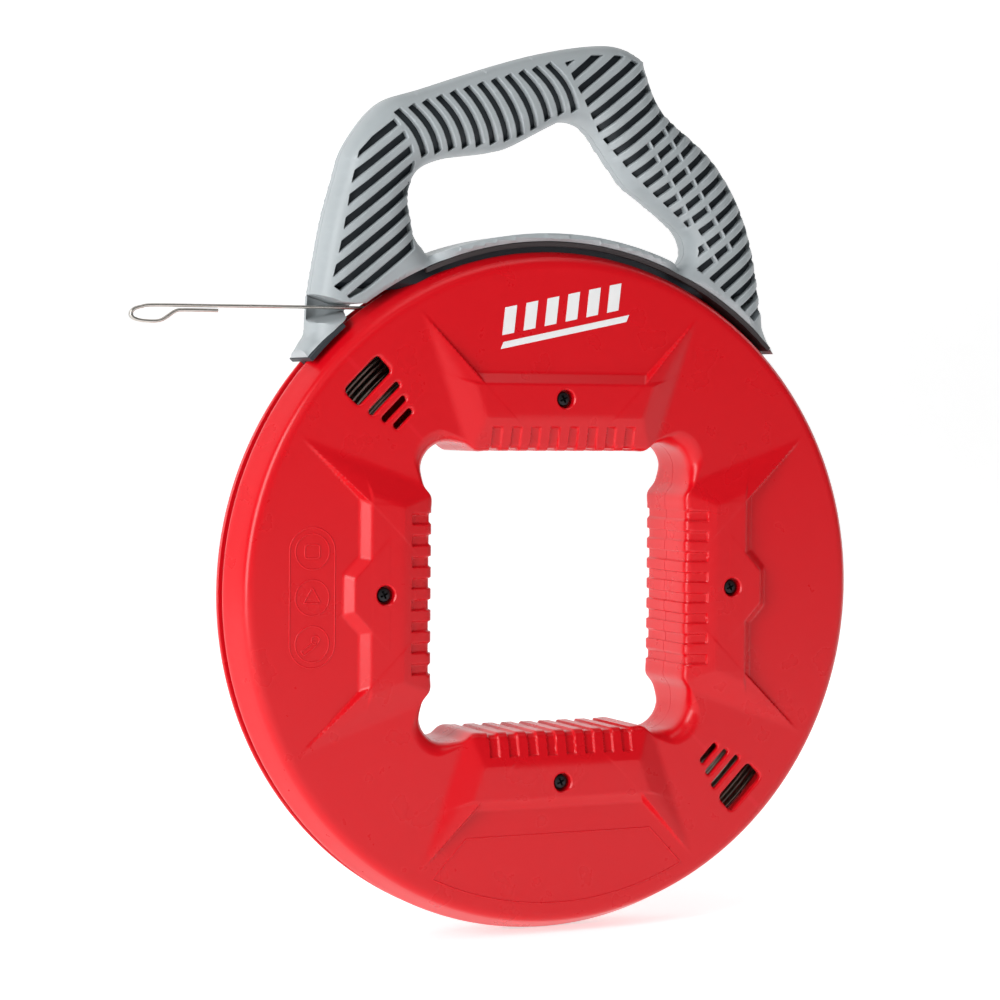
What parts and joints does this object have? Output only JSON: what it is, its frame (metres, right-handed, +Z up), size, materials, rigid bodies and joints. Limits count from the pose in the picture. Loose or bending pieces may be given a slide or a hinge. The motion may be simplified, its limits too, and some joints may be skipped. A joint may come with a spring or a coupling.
{
  "type": "fish tape reel",
  "caption": "Round reel of flat steel fish tape in a two-part case with a square hand opening, and a slotted handle that slides round its rim.",
  "frame": {"origin": "middle of the handle's grip, on the mid-plane, where a hand holds the tool", "axes": "+Z up with the handle on top, -Y out of the front face, -X the way the tape leaves the nose; the case turns about Y"},
  "size_m": [0.3566, 0.048, 0.4096],
  "materials": {
    "case_red": "satin moulded plastic with a fine texture",
    "handle_grey": "matte moulded plastic",
    "dark_nylon": "matte dark nylon",
    "tape_steel": "bright rolled stainless steel",
    "screw_black": "black oxide screws"
  },
  "bodies": {
    "handle": {"handle_front": "handle_grey", "handle_rear": "handle_grey", "handle_core": "dark_nylon", "slide_shoe": "dark_nylon", "nose_shoe": "dark_nylon", "tape_guide": "handle_grey", "handle_screw_1": "screw_black", "handle_screw_2": "screw_black", "handle_screw_3": "screw_black", "handle_screw_4": "screw_black", "handle_screw_5": "screw_black"},
    "case": {"case_front": "case_red", "case_rear": "case_red", "case_screw_top": "screw_black", "case_screw_right": "screw_black", "case_screw_bottom": "screw_black", "case_screw_left": "screw_black", "tape_coil": "tape_steel", "tape_anchor_clip": "tape_steel", "tape_anchor_screw": "screw_black"},
    "tape": {"tape_lead": "tape_steel"}
  },
  "joints": [
    {"name": "case_turn", "type": "hinge", "parent": "handle", "child": "case", "pos_m": [0.019, 0, -0.224], "axis": [0, 1, 0], "continuous": true},
    {"name": "tape_draw", "type": "slide", "parent": "handle", "child": "tape", "axis": [-1, 0, 0], "range_m": [-0.035, 0.06]}
  ]
}
